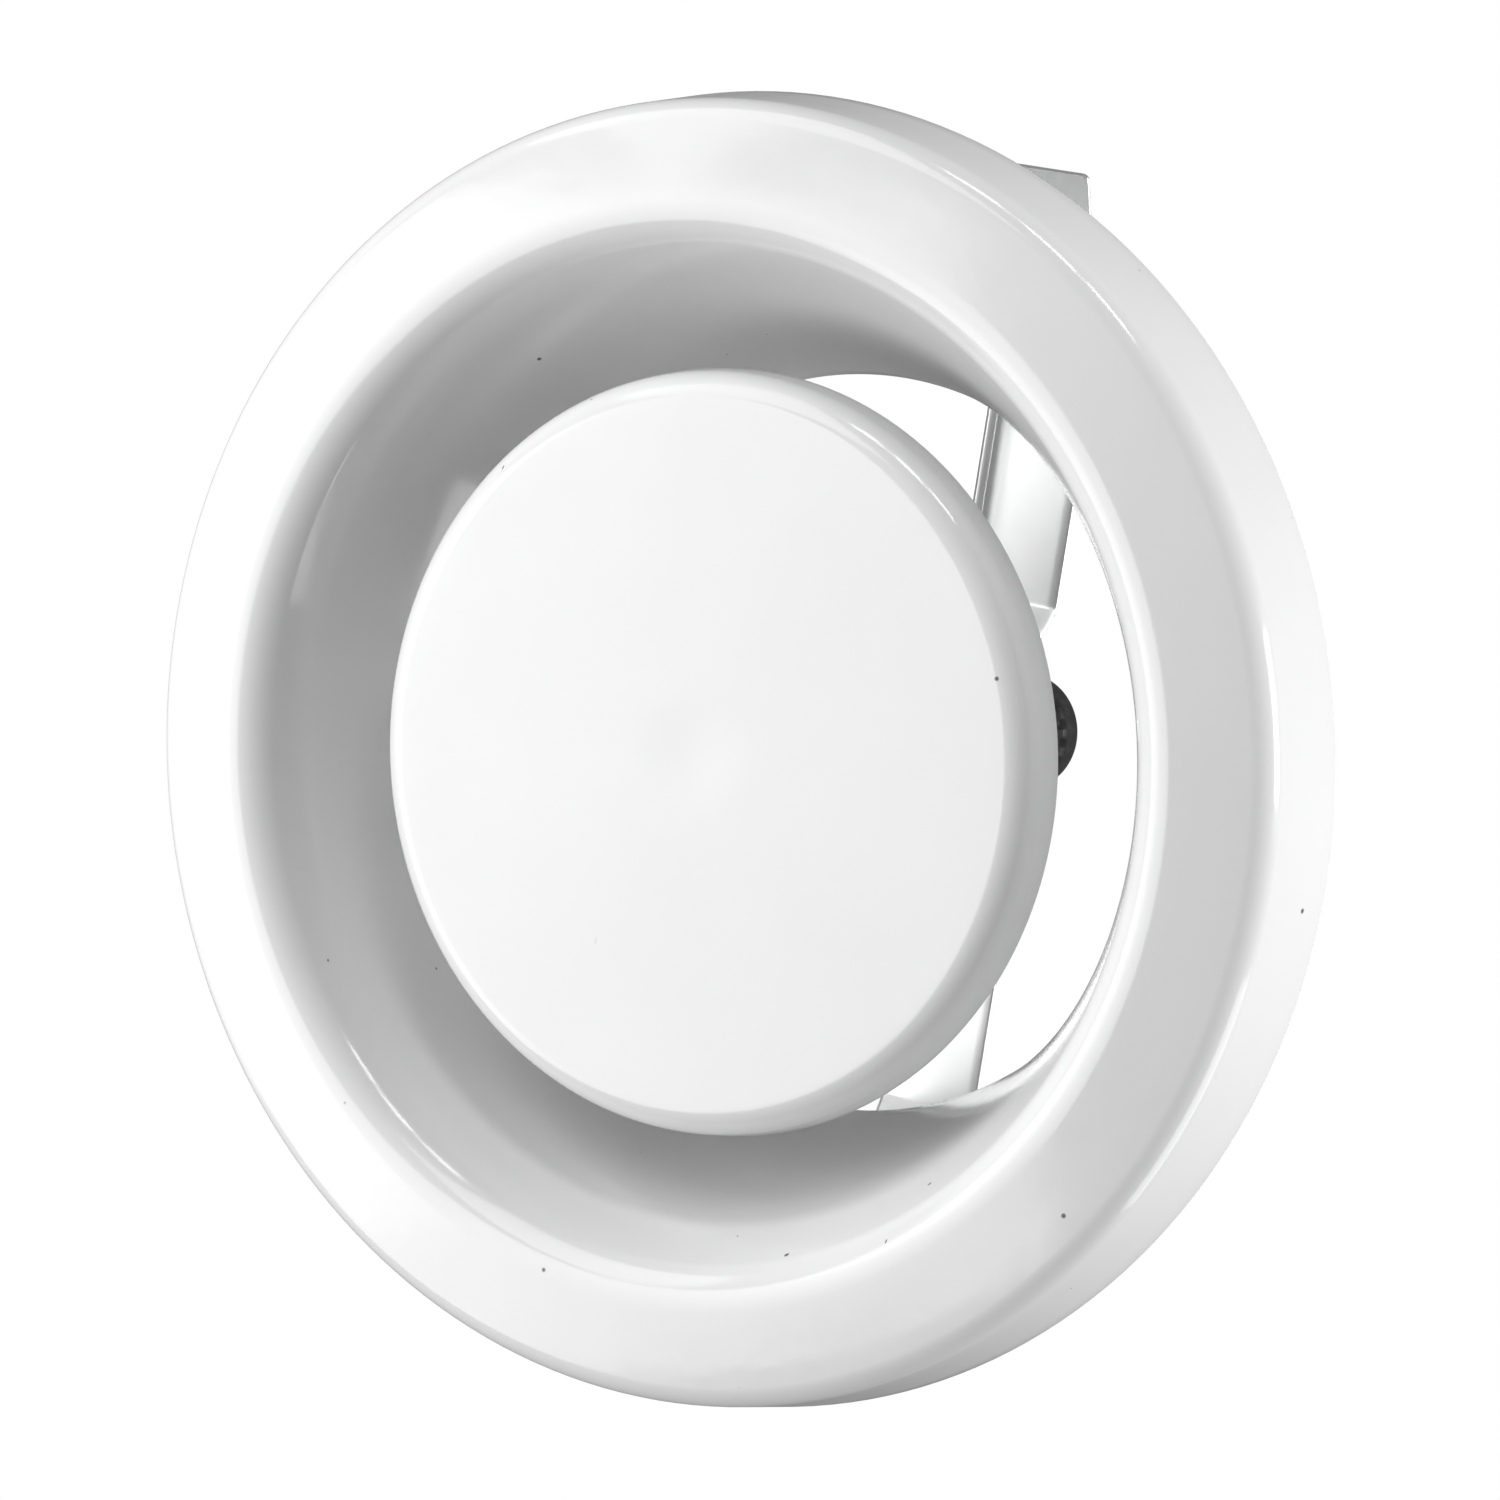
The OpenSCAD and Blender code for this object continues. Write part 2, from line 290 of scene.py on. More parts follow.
def dented(piece, centres, radius, depth, direction):
    """Presses small round spot-weld marks into the side of a piece that looks against the direction."""
    push = Vector(direction)
    facing = -0.5
    steepness = 1.6
    for vertex in piece.data.vertices:
        if vertex.normal.dot(push) > facing:
            continue
        for centre in centres:
            away = vertex.co - Vector(centre)
            away -= push * away.dot(push)
            vertex.co += push * depth * smooth_step(steepness * (1 - away.length / radius))
    return piece


# ---- ring ----

ring_low, ring_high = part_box("front_ring")
bell_centre = Vector((THROAT_R, ring_high.z)) + polar(BELL_EXIT, BELL_R)
bell_entry = math.asin((bell_centre.y - ring_low.z - LIP_R) / (BELL_R - LIP_R))
lip_centre = bell_centre - polar(bell_entry, BELL_R - LIP_R)


def bell_point(angle, depth):
    """Point of the throat's section at an angle of its curve, at a depth behind its air side."""
    return bell_centre - polar(angle, BELL_R - depth)


def bell_angle(z, depth):
    """Angle of the throat's curve at a height."""
    return math.asin((bell_centre.y - z) / (BELL_R - depth))


def bell_arc(start, end, depth, steps):
    """Points of the throat's section from one angle of its curve to another."""
    return [bell_point(start + (end - start) * k / steps, depth) for k in range(steps + 1)]


def front_ring(name):
    """One pressed sheet: skirt, face, lip and bell-mouthed throat."""
    depth = SHEET / 2
    face_normal = polar(FACE_FALL - math.pi / 2)
    skirt_normal = polar(-SKIRT_DRAFT)
    skirt_distance = skirt_normal.dot(Vector((ring_high.x, 0)))
    edge_centre = meet(face_normal, face_normal.dot(lip_centre) + LIP_R - EDGE_FILLET,
                       skirt_normal, skirt_distance - EDGE_FILLET)
    line = [Vector((ring_high.x - depth / math.cos(SKIRT_DRAFT), 0))]
    line += arc(edge_centre, EDGE_FILLET - depth, -SKIRT_DRAFT, FACE_FALL - math.pi / 2, steps=16)
    line += arc(lip_centre, LIP_R - depth, FACE_FALL - math.pi / 2, bell_entry - math.pi, steps=24)
    line += bell_arc(bell_entry, BELL_EXIT, depth, steps=14)[1:]
    return turned_piece(name, sheet_outline(resampled(line, longest=0.0035), SHEET), segments=192)


def ceiling_gasket(name):
    """Foam strip stuck inside the skirt, with a butt joint. Its inner side is slightly uneven."""
    low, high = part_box("ceiling_gasket")
    outer = high.x
    lean = (high.z - low.z) * math.tan(SKIRT_DRAFT)
    joint = FOAM_GAP / outer

    def outline(angle):
        spread = Vector((*polar(angle, FOAM_WAVES), 0))
        inner = outer - FOAM_T + FOAM_WAVE * (1 + noise.noise(spread))
        corners = [(outer, high.z), (inner, high.z), (inner - lean, low.z), (outer - lean, low.z)]
        return bevelled(corners, bevel=0.0005)

    bm = bmesh.new()
    turned(bm, outline, 160, start=math.pi / 2 + joint / 2, sweep=math.tau - joint)
    return finished(bm, name)


# ---- disc and hub ----

def valve_disc(name):
    """Pressed disc with a flat face, a rounded edge and a shallow dimple in the middle."""
    low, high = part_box("valve_disc")
    depth = SHEET / 2
    wall_normal = polar(-DISC_DRAFT)
    wall_distance = wall_normal.dot(Vector((high.x, high.z)))
    fillet_centre = meet(Vector((0, -1)), -low.z - DISC_FILLET, wall_normal, wall_distance - DISC_FILLET)
    dimple_steps = 8
    line = []
    for k in range(dimple_steps + 1):
        share = k / dimple_steps
        rise = DIMPLE * (1 + math.cos(math.pi * share)) / 2
        line.append(Vector((DIMPLE_R * share, low.z + depth + rise)))
    line += arc(fillet_centre, DISC_FILLET - depth, -math.pi / 2, -DISC_DRAFT, steps=16)
    line.append(Vector((high.x - depth / math.cos(DISC_DRAFT), high.z)))
    line = resampled(line, longest=0.003)
    return turned_piece(name, sheet_outline(line, SHEET, round_start=False), segments=192)


def hub_plate(name):
    """Top-hat plate behind the disc, with four spot-weld marks in its brim."""
    low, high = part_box("hub_plate")
    crown_z = high.z - SHEET / 2
    brim_z = low.z + SHEET / 2
    crown_r = HEAD_R + HUB_MARGIN
    slope_r = crown_r + crown_z - brim_z
    corners = [(THREAD_R, crown_z), (crown_r, crown_z), (slope_r, brim_z), (high.x, brim_z)]
    line = rounded([Vector(corner) for corner in corners], radius=0.001)
    plate = turned_piece(name, sheet_outline(resampled(line, longest=0.0007), SHEET), segments=128)
    weld_r = (HEAD_R + high.x) / 2 + HUB_MARGIN
    welds = [(*polar(math.pi * (k + 0.5) / 2, weld_r), 0) for k in range(4)]
    return dented(plate, welds, radius=0.0017, depth=0.00012, direction=(0, 0, -1))


def thread(bm, bottom, top):
    """Screw thread with helical rows of points, chamfered to the neck's radius at both ends."""
    around = 40
    profile = [THREAD_R, THREAD_R, THREAD_ROOT_R, THREAD_ROOT_R]
    crest_share = [0, 0.18, 0.5, 0.68]
    rows_a_turn = len(profile)
    turns = math.ceil((top - bottom) / PITCH) + 3
    loops = []
    for k in range(turns * rows_a_turn):
        loop = []
        for j in range(around):
            angle = math.tau * j / around
            z = bottom + PITCH * (k // rows_a_turn - 1 + crest_share[k % rows_a_turn] + j / around)
            z = min(top, max(bottom, z))
            r = min(profile[k % rows_a_turn], NECK_R + min(z - bottom, top - z))
            loop.append(bm.verts.new((r * math.cos(angle), r * math.sin(angle), z)))
        loops.append(loop)
    for k in range(len(loops) - rows_a_turn - 1):
        for j in range(around):
            onward = k + rows_a_turn if j == around - 1 else k
            n = (j + 1) % around
            bm.faces.new((loops[k][j], loops[onward][n], loops[onward + 1][n], loops[k + 1][j]))
    bm.faces.new(loops[0])
    bm.faces.new(loops[-1])


def spindle(name):
    """Threaded rod with a flat head under the hub plate and a grooved neck at its rear end."""
    low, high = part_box("spindle")
    clip_low, clip_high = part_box("stop_clip")
    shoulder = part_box("stop_washer")[0].z - SHOULDER_GAP
    head_top = low.z + HEAD_H
    head_core_r = 0.0005
    core_low = low.z + HEAD_H / 3
    core_r = THREAD_ROOT_R - 0.0002
    tip = 0.0004
    head = bevelled([(head_core_r, low.z), (HEAD_R, low.z), (HEAD_R, head_top), (head_core_r, head_top)],
                    bevel=0.0002)
    neck = [(0, core_low), (core_r, core_low), (core_r, shoulder - THREAD_R + NECK_R), (NECK_R, shoulder),
            (NECK_R, clip_low.z), (GROOVE_R, clip_low.z), (GROOVE_R, clip_high.z), (NECK_R, clip_high.z),
            (NECK_R, high.z - tip), (NECK_R - tip, high.z), (0, high.z)]
    bm = bmesh.new()
    thread(bm, low.z + HEAD_H / 2, shoulder)
    turned(bm, lambda angle: head, 64)
    turned(bm, lambda angle: neck, 48)
    return finished(bm, name)


def hub_washer(name):
    """Split spring washer, pressed flat, with its ends slightly sprung."""
    low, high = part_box("hub_washer")
    inner = THREAD_R + WASHER_PLAY
    gap = 0.0008 / high.y

    def outline(angle):
        spring = 0.00015 * math.cos(angle / 2)
        bottom = low.z + max(0, spring)
        top = high.z + min(0, spring)
        return bevelled([(inner, bottom), (high.y, bottom), (high.y, top), (inner, top)], bevel=0.0002)

    bm = bmesh.new()
    turned(bm, outline, 72, start=gap / 2, sweep=math.tau - gap)
    return finished(bm, name)


def hexagon(bm, low, high, flat_r, bore_r):
    """Hexagonal nut with a hole. Both of its faces are chamfered to a circle, which curves its flats."""
    face_r = 0.95 * flat_r
    lead = 0.0004
    chamfer = math.radians(30)

    def outline(angle):
        corner = flat_r / math.cos(angle % (math.pi / 3) - math.pi / 6)
        drop = (corner - face_r) * math.tan(chamfer)
        return [(bore_r, low + lead), (bore_r + lead, low), (face_r, low), (corner, low + drop),
                (corner, high - drop), (face_r, high), (bore_r + lead, high), (bore_r, high - lead)]

    turned(bm, outline, 96)


def hub_nut(name):
    low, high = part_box("hub_nut")
    bm = bmesh.new()
    hexagon(bm, low.z, high.z, high.y, THREAD_ROOT_R + 0.0001)
    return finished(bm, name)


# ---- bar and stays ----

bar_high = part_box("clamp_bar")[1]
bar_z = bar_high.z - STRIP_T
seat_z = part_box("threaded_bush")[1].z - STRIP_T
strip_half = bar_high.x


def bar_underside(y):
    """Point on the underside of the bar's bent end."""
    return Vector((y, bar_z - (y - BAR_BEND_Y) * math.tan(BAR_BEND)))


def rivet_places():
    """Matrices at the bar's underside on the four rivets' axes, with Z square to the bar."""
    places = []
    for side in (-1, 1):
        for x in (-RIVET_X, RIVET_X):
            place = Matrix.Translation((x, side * BAR_BEND_Y, bar_z))
            place @= Matrix.Rotation(-side * BAR_BEND, 4, "X")
            place @= Matrix.Translation((0, side * (FOOT_Y - BAR_BEND_Y) / math.cos(BAR_BEND), 0))
            places.append(place)
    return places


def strip_piece(name, line, middle_at, corner_r, bow_at=lambda point: 0):
    """A strip that follows a [y, z] line. At a point of it, middle_at gives the middle line of the strip's
    section, as [x, offset], and bow_at says how much of the throat's roundness the section has."""
    line = resampled(line, longest=0.0016)
    length = sum((b - a).length for a, b in zip(line, line[1:]))
    corner_steps = 5
    stations = [corner_r * (1 - math.cos(math.pi / 2 * k / corner_steps)) for k in range(corner_steps + 1)]
    line = with_stations(line, stations + [length - s for s in stations])
    sides = side_directions(line)
    travelled = 0
    rows = []
    for i, (point, side) in enumerate(zip(line, sides)):
        travelled += (point - line[i - 1]).length if i else 0
        edge = min(travelled, length - travelled, corner_r)
        inset = corner_r - math.sqrt(max(0, corner_r ** 2 - (corner_r - edge) ** 2))
        section = sheet_outline(middle_at(point, inset), STRIP_T, steps=4)
        bow = bow_at(point)
        row = []
        for x, offset in section:
            place = point + side * offset
            sag = bow * (place.x - math.sqrt(place.x ** 2 - x ** 2)) if bow else 0
            row.append((x, place.x - sag, place.y))
        rows.append(row)
    bm = bmesh.new()
    loft(bm, rows, closed=False)
    return finished(bm, name)


def with_stations(line, stations):
    """The line with further points at the given distances along it."""
    places = []
    travelled = 0
    for i, point in enumerate(line):
        travelled += (point - line[i - 1]).length if i else 0
        places.append((travelled, point))
    extra = []
    for station in stations:
        for (s0, a), (s1, b) in zip(places, places[1:]):
            if s0 + TINY < station < s1 - TINY:
                extra.append((station, a.lerp(b, (station - s0) / (s1 - s0))))
    return [place[1] for place in sorted(places + extra, key=lambda place: place[0])]


def flat_section(right, left, offset, cuts):
    """Middle line of the flat part of a strip's section, from its right end to its left one."""
    return [Vector((right - (right - left) * k / cuts, offset)) for k in range(cuts + 1)]


def clamp_bar(name):
    """Bar across the duct: a pressed-down seat in the middle, a flange along each half of its left edge, and
    ends bent down."""
    half = [Vector((SEAT_HALF, seat_z)), Vector((SEAT_HALF + SEAT_SLOPE, bar_z)),
            Vector((BAR_BEND_Y, bar_z)), bar_underside(bar_high.y)]
    line = [Vector((-p.x, p.y)) for p in reversed(half)] + half
    flange_start = SEAT_HALF + SEAT_SLOPE + 0.0015
    flange_end = BAR_BEND_Y - 0.001
    runout = 0.004
    fold_out = STRIP_T * 1.5
    fold_length = math.pi / 2 * (STRIP_T / 2 + 0.0002)
    fold_steps = 6
    least_rest = 0.00005

    def middle_at(point, inset):
        y = abs(point.x)
        share = smooth_step(min(y - flange_start, flange_end - y) / runout)
        bend = math.pi / 2 * share
        left = -strip_half + fold_out + (1 - share) * (fold_length - fold_out)
        points = flat_section(strip_half - inset, left, STRIP_T / 2, cuts=8)
        for k in range(fold_steps):
            way = math.pi + bend * (k + 0.5) / fold_steps
            points.append(points[-1] + polar(way, (fold_length - inset) / fold_steps))
        rest = least_rest + share * (FLANGE_H - 0.0005)
        points += [points[-1] + polar(math.pi + bend, rest * k / 2) for k in (1, 2)]
        return points

    bar = strip_piece(name, rounded(line, BEND_R), middle_at, corner_r=0.0008)
    bush_hole = (Matrix.Translation((0, 0, seat_z)), BUSH_SHANK_R)
    return drilled(bar, [(place, RIVET_R) for place in rivet_places()] + [bush_hole])


def stay(name):
    """Stay on the +Y side: a pad curved to the throat, an upright shank, and a foot under the bar's end."""
    rim = bell_point(bell_angle(ring_high.z, SHEET), SHEET)
    line = bell_arc(bell_angle(PAD_LOW_Z, SHEET), bell_angle(PAD_HIGH_Z, SHEET), SHEET, steps=12)
    line += rounded([line[-1], Vector((rim.x + 0.0003, ring_high.z + PAD_END_H)),
                     Vector((STAY_Y, ring_high.z + JOG_H)), bar_underside(STAY_Y),
                     bar_underside(FOOT_END_Y)], BEND_R)[1:]

    def middle_at(point, inset):
        return flat_section(strip_half - inset, inset - strip_half, -STRIP_T / 2, cuts=20)

    def bow_at(point):
        return smooth_step((ring_high.z + BOW_FADE_H - point.y) / BOW_FADE_H)

    piece = strip_piece(name, line, middle_at, corner_r=0.002, bow_at=bow_at)
    welds = [(x, 0, z) for x in (-WELD_X, WELD_X) for z in WELD_ROWS_Z]
    dented(piece, welds, radius=0.0016, depth=0.00014, direction=(0, -1, 0))
    return drilled(piece, [(place, RIVET_R) for place in rivet_places() if place.translation.y > 0])


def other_stay(name):
    """The same stay, turned to the -Y side."""
    piece = stay(name)
    piece.data.transform(Matrix.Rotation(math.pi, 4, "Z"))
    return piece


def bar_rivets(name):
    """Four rivets, each with a low domed head on both sides and a setting mark in the outer one."""
    dome_r = (RIVET_HEAD_R ** 2 + RIVET_HEAD_H ** 2) / (2 * RIVET_HEAD_H)
    crown_z = STRIP_T + RIVET_HEAD_H
    dome = arc(Vector((0, crown_z - dome_r)), dome_r, math.acos(RIVET_HEAD_R / dome_r), math.pi / 2, steps=8)
    mark = [Vector((0.0007, crown_z - 0.0001)), Vector((0, crown_z - 0.00022))]
    bottom = [Vector((p.x, -p.y)) for p in reversed(dome)]
    outline = [Vector((RIVET_R, STRIP_T))] + dome[:-2] + mark + bottom + [Vector((RIVET_R, -STRIP_T))]
    bm = bmesh.new()
    for place in rivet_places():
        one = bmesh.new()
        turned(one, lambda angle: outline, 40)
        bmesh.ops.transform(one, matrix=place, verts=one.verts)
        part = bpy.data.meshes.new("rivet")
        one.to_mesh(part)
        one.free()
        bm.from_mesh(part)
        bpy.data.meshes.remove(part)
    return finished(bm, name)


def threaded_bush(name):
    """Hexagonal bush clinched into the bar's seat, with a ring-shaped punch mark in its rear end."""
    low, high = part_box("threaded_bush")
    bore = THREAD_R + THREAD_PLAY
    shank_low = seat_z - 0.0005
    edge = 0.0001
    lead = 0.0003
    mark_r = 0.0037
    mark_half = 0.0002
    mark_depth = 0.00025
    shank = [(bore, shank_low), (BUSH_SHANK_R, shank_low), (BUSH_SHANK_R, high.z - edge),
             (BUSH_SHANK_R - edge, high.z), (mark_r + mark_half, high.z), (mark_r, high.z - mark_depth),
             (mark_r - mark_half, high.z), (bore + lead, high.z), (bore, high.z - lead)]
    bm = bmesh.new()
    hexagon(bm, low.z, seat_z, high.y, bore)
    turned(bm, lambda angle: shank, 96)
    return finished(bm, name)


# ---- rear end of the spindle and the knob ----

def plain_ring(name, cad_node, inner, bevel):
    """A plain ring, as wide and as high as its CAD node."""
    low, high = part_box(cad_node)
    corners = [(inner, low.z), (high.y, low.z), (high.y, high.z), (inner, high.z)]
    return turned_piece(name, bevelled(corners, bevel))


def stop_washer(name):
    return plain_ring(name, "stop_washer", NECK_R + WASHER_PLAY, bevel=0.0002)


def knob_washer(name):
    return plain_ring(name, "knob_washer", THREAD_R + WASHER_PLAY, bevel=0.00025)


def stop_clip(name):
    """E-clip: an open ring that touches the groove with three lobes."""
    low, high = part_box("stop_clip")
    mouth = math.asin(GROOVE_R / high.y) + 0.02
    body_r = high.y * 0.66
    lobes = 3
    lobe_width = 1.3

    def outline(angle):
        lobe = math.sqrt(max(0, math.cos(lobes * (angle - math.pi))))
        inner = body_r + (GROOVE_R - body_r) * smooth_step(lobe * lobe_width)
        return bevelled([(inner, low.z), (high.y, low.z), (high.y, high.z), (inner, high.z)], bevel=0.0001)

    bm = bmesh.new()
    turned(bm, outline, 96, start=mouth, sweep=math.tau - 2 * mouth)
    return finished(bm, name)


def lock_knob(name):
    """Round moulded knob with a fluted wall below a smooth rim."""
    low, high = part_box("lock_knob")
    base = low.z
    rim_z = high.z - KNOB_RIM_H
    flute_centre = KNOB_WALL_R + FLUTE_OUT
    foot_r = KNOB_WALL_R - KNOB_CHAMFER
    edge = 0.0001
    blend = 0.0002
    lead = 0.0003
    wall_top = rim_z - 0.0005
    round_centre = Vector((high.x, high.z)) - Vector((KNOB_ROUND_R, KNOB_ROUND_R))
    dish_r = INSERT_R - 0.001
    dish_z = high.z - 0.0006
    chamfer_start = 0.001
    chamfer_steps = 4

    def fluted(angle):
        spacing = math.tau / KNOB_FLUTES
        off = (angle + spacing / 2) % spacing - spacing / 2
        across = flute_centre * math.sin(off)
        if abs(across) >= FLUTE_R:
            return KNOB_WALL_R
        return min(KNOB_WALL_R, flute_centre * math.cos(off) - math.sqrt(FLUTE_R ** 2 - across ** 2))

    def outline(angle):
        wall = fluted(angle)
        points = [(INSERT_R, base + lead), (INSERT_R + lead, base), (foot_r - blend, base),
                  (foot_r + edge, base + edge)]
        for k in range(chamfer_steps + 1):
            rise = chamfer_start + (KNOB_CHAMFER - chamfer_start) * k / chamfer_steps
            points.append((min(wall, foot_r + rise), base + rise))
        points += [(wall, wall_top - blend), (wall, wall_top), (high.x - blend, rim_z - edge),
                   (high.x, rim_z + edge)]
        points += arc(round_centre, KNOB_ROUND_R, 0, math.pi / 2, steps=8)
        points += [(INSERT_R + lead, high.z), (INSERT_R, high.z - edge), (dish_r, dish_z),
                   (KNOB_HOLE_R + blend, dish_z), (KNOB_HOLE_R, dish_z - blend),
                   (KNOB_HOLE_R, base + INSERT_H), (INSERT_R, base + INSERT_H)]
        return points

    bm = bmesh.new()
    turned(bm, outline, KNOB_FLUTES * 16)
    return finished(bm, name)


def knob_insert(name):
    return plain_ring(name, "knob_insert", THREAD_R + THREAD_PLAY, bevel=0.0003)


# ---- materials ----

# The range that most of a noise lies in, the grey of specks and scratches, the angle that keeps scratches off
# the axes, and the share of a speck that is fully grey
NOISE_MIDDLE = (0.3, 0.7)
DIRT = (0.13, 0.13, 0.13)
SPECK_TURN = 0.7
SPECK_CORE = 0.6


def node(tree, kind, inputs=(), **settings):
    """Adds a shader node. inputs maps a socket to a constant or to the output that feeds it."""
    made = tree.nodes.new("ShaderNode" + kind)
    for key, value in settings.items():
        setattr(made, key, value)
    for key, value in dict(inputs).items():
        if isinstance(value, bpy.types.NodeSocket):
            tree.links.new(value, made.inputs[key])
        else:
            made.inputs[key].default_value = value
    return made


def new_material(name, metallic, **sockets):
    """A material with its constants set, and its shader and the object's own coordinates."""
    material = bpy.data.materials.new(name)
    material.use_nodes = True
    tree = material.node_tree
    shader = tree.nodes["Principled BSDF"]
    shader.inputs["Metallic"].default_value = metallic
    for key, value in sockets.items():
        shader.inputs[key.replace("_", " ")].default_value = value
    place = tree.nodes.new("ShaderNodeTexCoord").outputs["Object"]
    return material, tree, shader, place


def feed(tree, shader, socket, value):
    """Feeds one of the shader's sockets from the output of another node."""
    tree.links.new(value, shader.inputs[socket])


def noise_at(tree, place, scale, detail=3.0, stretch=(1, 1, 1)):
    """A noise between 0 and 1. scale is in features a metre, and stretch makes it streaky."""
    mapped = node(tree, "Mapping", {"Vector": place, "Scale": stretch}).outputs["Vector"]
    return node(tree, "TexNoise", {"Vector": mapped, "Scale": scale, "Detail": detail}).outputs["Fac"]


def ramp(tree, value, low, high, start=0.0, end=1.0):
    """value from low..high to start..end, held at both ends."""
    settings = {"Value": value, "From Min": low, "From Max": high, "To Min": start, "To Max": end}
    return node(tree, "MapRange", settings, clamp=True).outputs["Result"]


def blend_colours(tree, share, colour_1, colour_2):
    mix = node(tree, "Mix", {0: share}, data_type="RGBA")
    for key, value in ((6, colour_1), (7, colour_2)):
        if isinstance(value, bpy.types.NodeSocket):
            tree.links.new(value, mix.inputs[key])
        else:
            mix.inputs[key].default_value = (*value, 1)
    return mix.outputs[2]


def bump(tree, shader, height, distance):
    """Adds a bump of the given height in metres on top of what the shader has."""
    before = shader.inputs["Normal"].links
    made = node(tree, "Bump", {"Height": height, "Distance": distance, "Strength": 1.0})
    if before:
        tree.links.new(before[0].from_socket, made.inputs["Normal"])
    tree.links.new(made.outputs["Normal"], shader.inputs["Normal"])


def specks(tree, place, spacing, radius, stretch=(1, 1, 1)):
    """1 inside sparse specks, 0 elsewhere. Few cells have their speck at the surface, so most stay bare."""
    settings = {"Vector": place, "Scale": stretch, "Rotation": (0, 0, SPECK_TURN)}
    mapped = node(tree, "Mapping", settings).outputs["Vector"]
    away = node(tree, "TexVoronoi", {"Vector": mapped, "Scale": 1 / spacing}).outputs["Distance"]
    size = radius / spacing
    return ramp(tree, away, size, size * SPECK_CORE)


def white_coat():
    """Gloss powder coat with orange peel, a faint mottle, a few dust specks and fine scratches."""
    material, tree, shader, place = new_material("white_coat", 0.0, IOR=1.5)
    mottle = noise_at(tree, place, 45, detail=4)
    colour = blend_colours(tree, mottle, (0.71, 0.715, 0.712), (0.76, 0.765, 0.762))
    nibs = specks(tree, place, spacing=0.0125, radius=0.0004)
    scratches = specks(tree, place, spacing=0.006, radius=0.00014, stretch=(1, 0.1, 1))
    marks = node(tree, "Math", {0: nibs, 1: scratches}, operation="MAXIMUM").outputs[0]
    feed(tree, shader, "Base Color", blend_colours(tree, marks, colour, DIRT))
    feed(tree, shader, "Roughness", ramp(tree, noise_at(tree, place, 160), *NOISE_MIDDLE, 0.09, 0.15))
    bump(tree, shader, noise_at(tree, place, 420, detail=1), 0.000012)
    bump(tree, shader, marks, 0.00004)
    return material


def zinc():
    """Dull zinc plate over rolled steel: faint long lines and a slight cloudiness."""
    material, tree, shader, place = new_material("zinc", 1.0)
    cloud = noise_at(tree, place, 110, detail=4)
    lines = noise_at(tree, place, 1, detail=4, stretch=(3800, 90, 3800))
    feed(tree, shader, "Base Color", blend_colours(tree, cloud, (0.88, 0.885, 0.885), (0.95, 0.953, 0.953)))
    feed(tree, shader, "Roughness", ramp(tree, lines, 0.25, 0.75, 0.36, 0.44))
    bump(tree, shader, lines, 0.000004)
    return material


def spring_steel():
    """Dark oiled spring steel with brown and grey clouds."""
    material, tree, shader, place = new_material("spring_steel", 1.0)
    cloud = noise_at(tree, place, 500, detail=4)
    feed(tree, shader, "Base Color", blend_colours(tree, cloud, (0.11, 0.105, 0.10), (0.26, 0.26, 0.27)))
    feed(tree, shader, "Roughness", ramp(tree, noise_at(tree, place, 1500), *NOISE_MIDDLE, 0.28, 0.45))
    bump(tree, shader, noise_at(tree, place, 2600), 0.00001)
    return material


def black_plastic():
    """Satin moulded plastic with a fine spark-eroded grain and slightly worn high spots."""
    material, tree, shader, place = new_material("black_plastic", 0.0, IOR=1.49)
    wear = ramp(tree, noise_at(tree, place, 700, detail=5), 0.45, 0.8)
    grain = noise_at(tree, place, 5200, detail=2)
    feed(tree, shader, "Base Color", blend_colours(tree, wear, (0.013, 0.013, 0.014), (0.032, 0.032, 0.033)))
    feed(tree, shader, "Roughness", ramp(tree, grain, *NOISE_MIDDLE, 0.36, 0.5))
    bump(tree, shader, grain, 0.000012)
    return material


def brass():
    """Turned brass with fine rings about the axis."""
    material, tree, shader, place = new_material("brass", 1.0)
    tarnish = noise_at(tree, place, 900, detail=3)
    rings = node(tree, "TexWave", {"Vector": place, "Scale": 900.0, "Distortion": 0.6},
                 wave_type="RINGS", rings_direction="Z").outputs["Fac"]
    feed(tree, shader, "Base Color", blend_colours(tree, tarnish, (0.62, 0.42, 0.15), (0.80, 0.60, 0.27)))
    feed(tree, shader, "Roughness", ramp(tree, tarnish, *NOISE_MIDDLE, 0.22, 0.4))
    bump(tree, shader, rings, 0.000006)
    return material


def foam():
    """Closed-cell foam: matt, with small open cells along its skin."""
    material, tree, shader, place = new_material("foam", 0.0, Roughness=0.95)
    cells = node(tree, "TexVoronoi", {"Vector": place, "Scale": 1700.0}).outputs["Distance"]
    pores = ramp(tree, cells, 0.1, 0.55)
    feed(tree, shader, "Base Color", blend_colours(tree, pores, (0.022, 0.022, 0.024), (0.075, 0.075, 0.08)))
    bump(tree, shader, pores, 0.00012)
    bump(tree, shader, noise_at(tree, place, 260), 0.0002)
    return material


# ---- camera, light and stage ----

# The camera stands CAMERA_TILT off the diffuser's axis, towards CAMERA_SIDE in the ceiling plane
CAMERA_TILT = math.radians(31.44)
CAMERA_SIDE = math.radians(-15)
CAMERA_TOP = math.radians(-100.23)
CAMERA_DISTANCE = 0.581
CAMERA_AIM = Vector((0.0027, -0.0008, 0))
FLOOR_Z = -2.4
FLOOR_HALF = 1.6
# Strength of the light that the white backdrop gives
WORLD_LIGHT = 0.2
